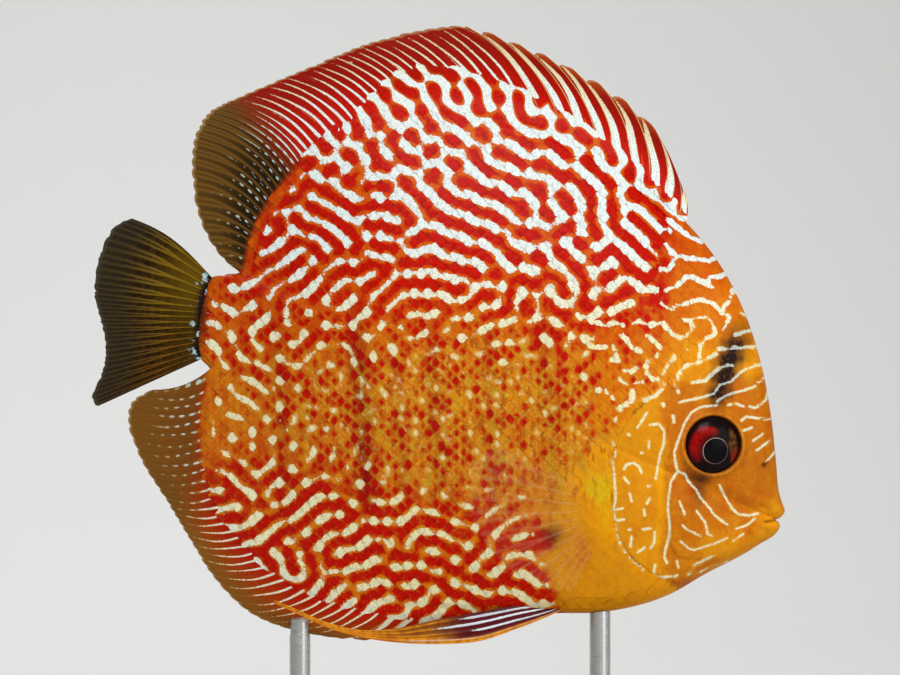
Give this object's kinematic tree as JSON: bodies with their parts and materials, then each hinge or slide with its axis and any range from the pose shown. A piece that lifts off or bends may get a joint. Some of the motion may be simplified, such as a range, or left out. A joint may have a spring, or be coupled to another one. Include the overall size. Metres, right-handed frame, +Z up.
{
  "type": "discus fish",
  "caption": "Still life-size model of a discus fish, nose slightly down, fins spread, on a flat two-rod display stand.",
  "frame": {"origin": "centre of the stand base's underside", "axes": "+X towards the fish's snout, +Y towards its left side, +Z up"},
  "size_m": [0.1575, 0.06, 0.1767],
  "materials": {
    "skin": "satin, painted as scaled skin",
    "gill": "satin, painted as bare skin",
    "fin": "satin, thin ribbed web",
    "tail_fin": "satin, thin ribbed web",
    "clear_fin": "clear, thin ribbed web",
    "eye": "polished",
    "slab": "satin stained",
    "rod": "turned"
  },
  "bodies": {
    "root": {"head": "skin", "trunk": "skin", "tail_stem": "skin", "gill_cover_right": "gill", "gill_cover_left": "gill", "eye_right": "eye", "eye_left": "eye", "dorsal_fin_spiny": "fin", "dorsal_fin_soft": "fin", "anal_fin_spiny": "fin", "anal_fin_soft": "fin", "caudal_fin": "tail_fin", "pelvic_fin_right": "fin", "pelvic_fin_left": "fin", "pectoral_fin_right": "clear_fin", "pectoral_fin_left": "clear_fin", "stand_base": "slab", "stand_rod_front": "rod", "stand_rod_rear": "rod"}
  },
  "joints": []
}
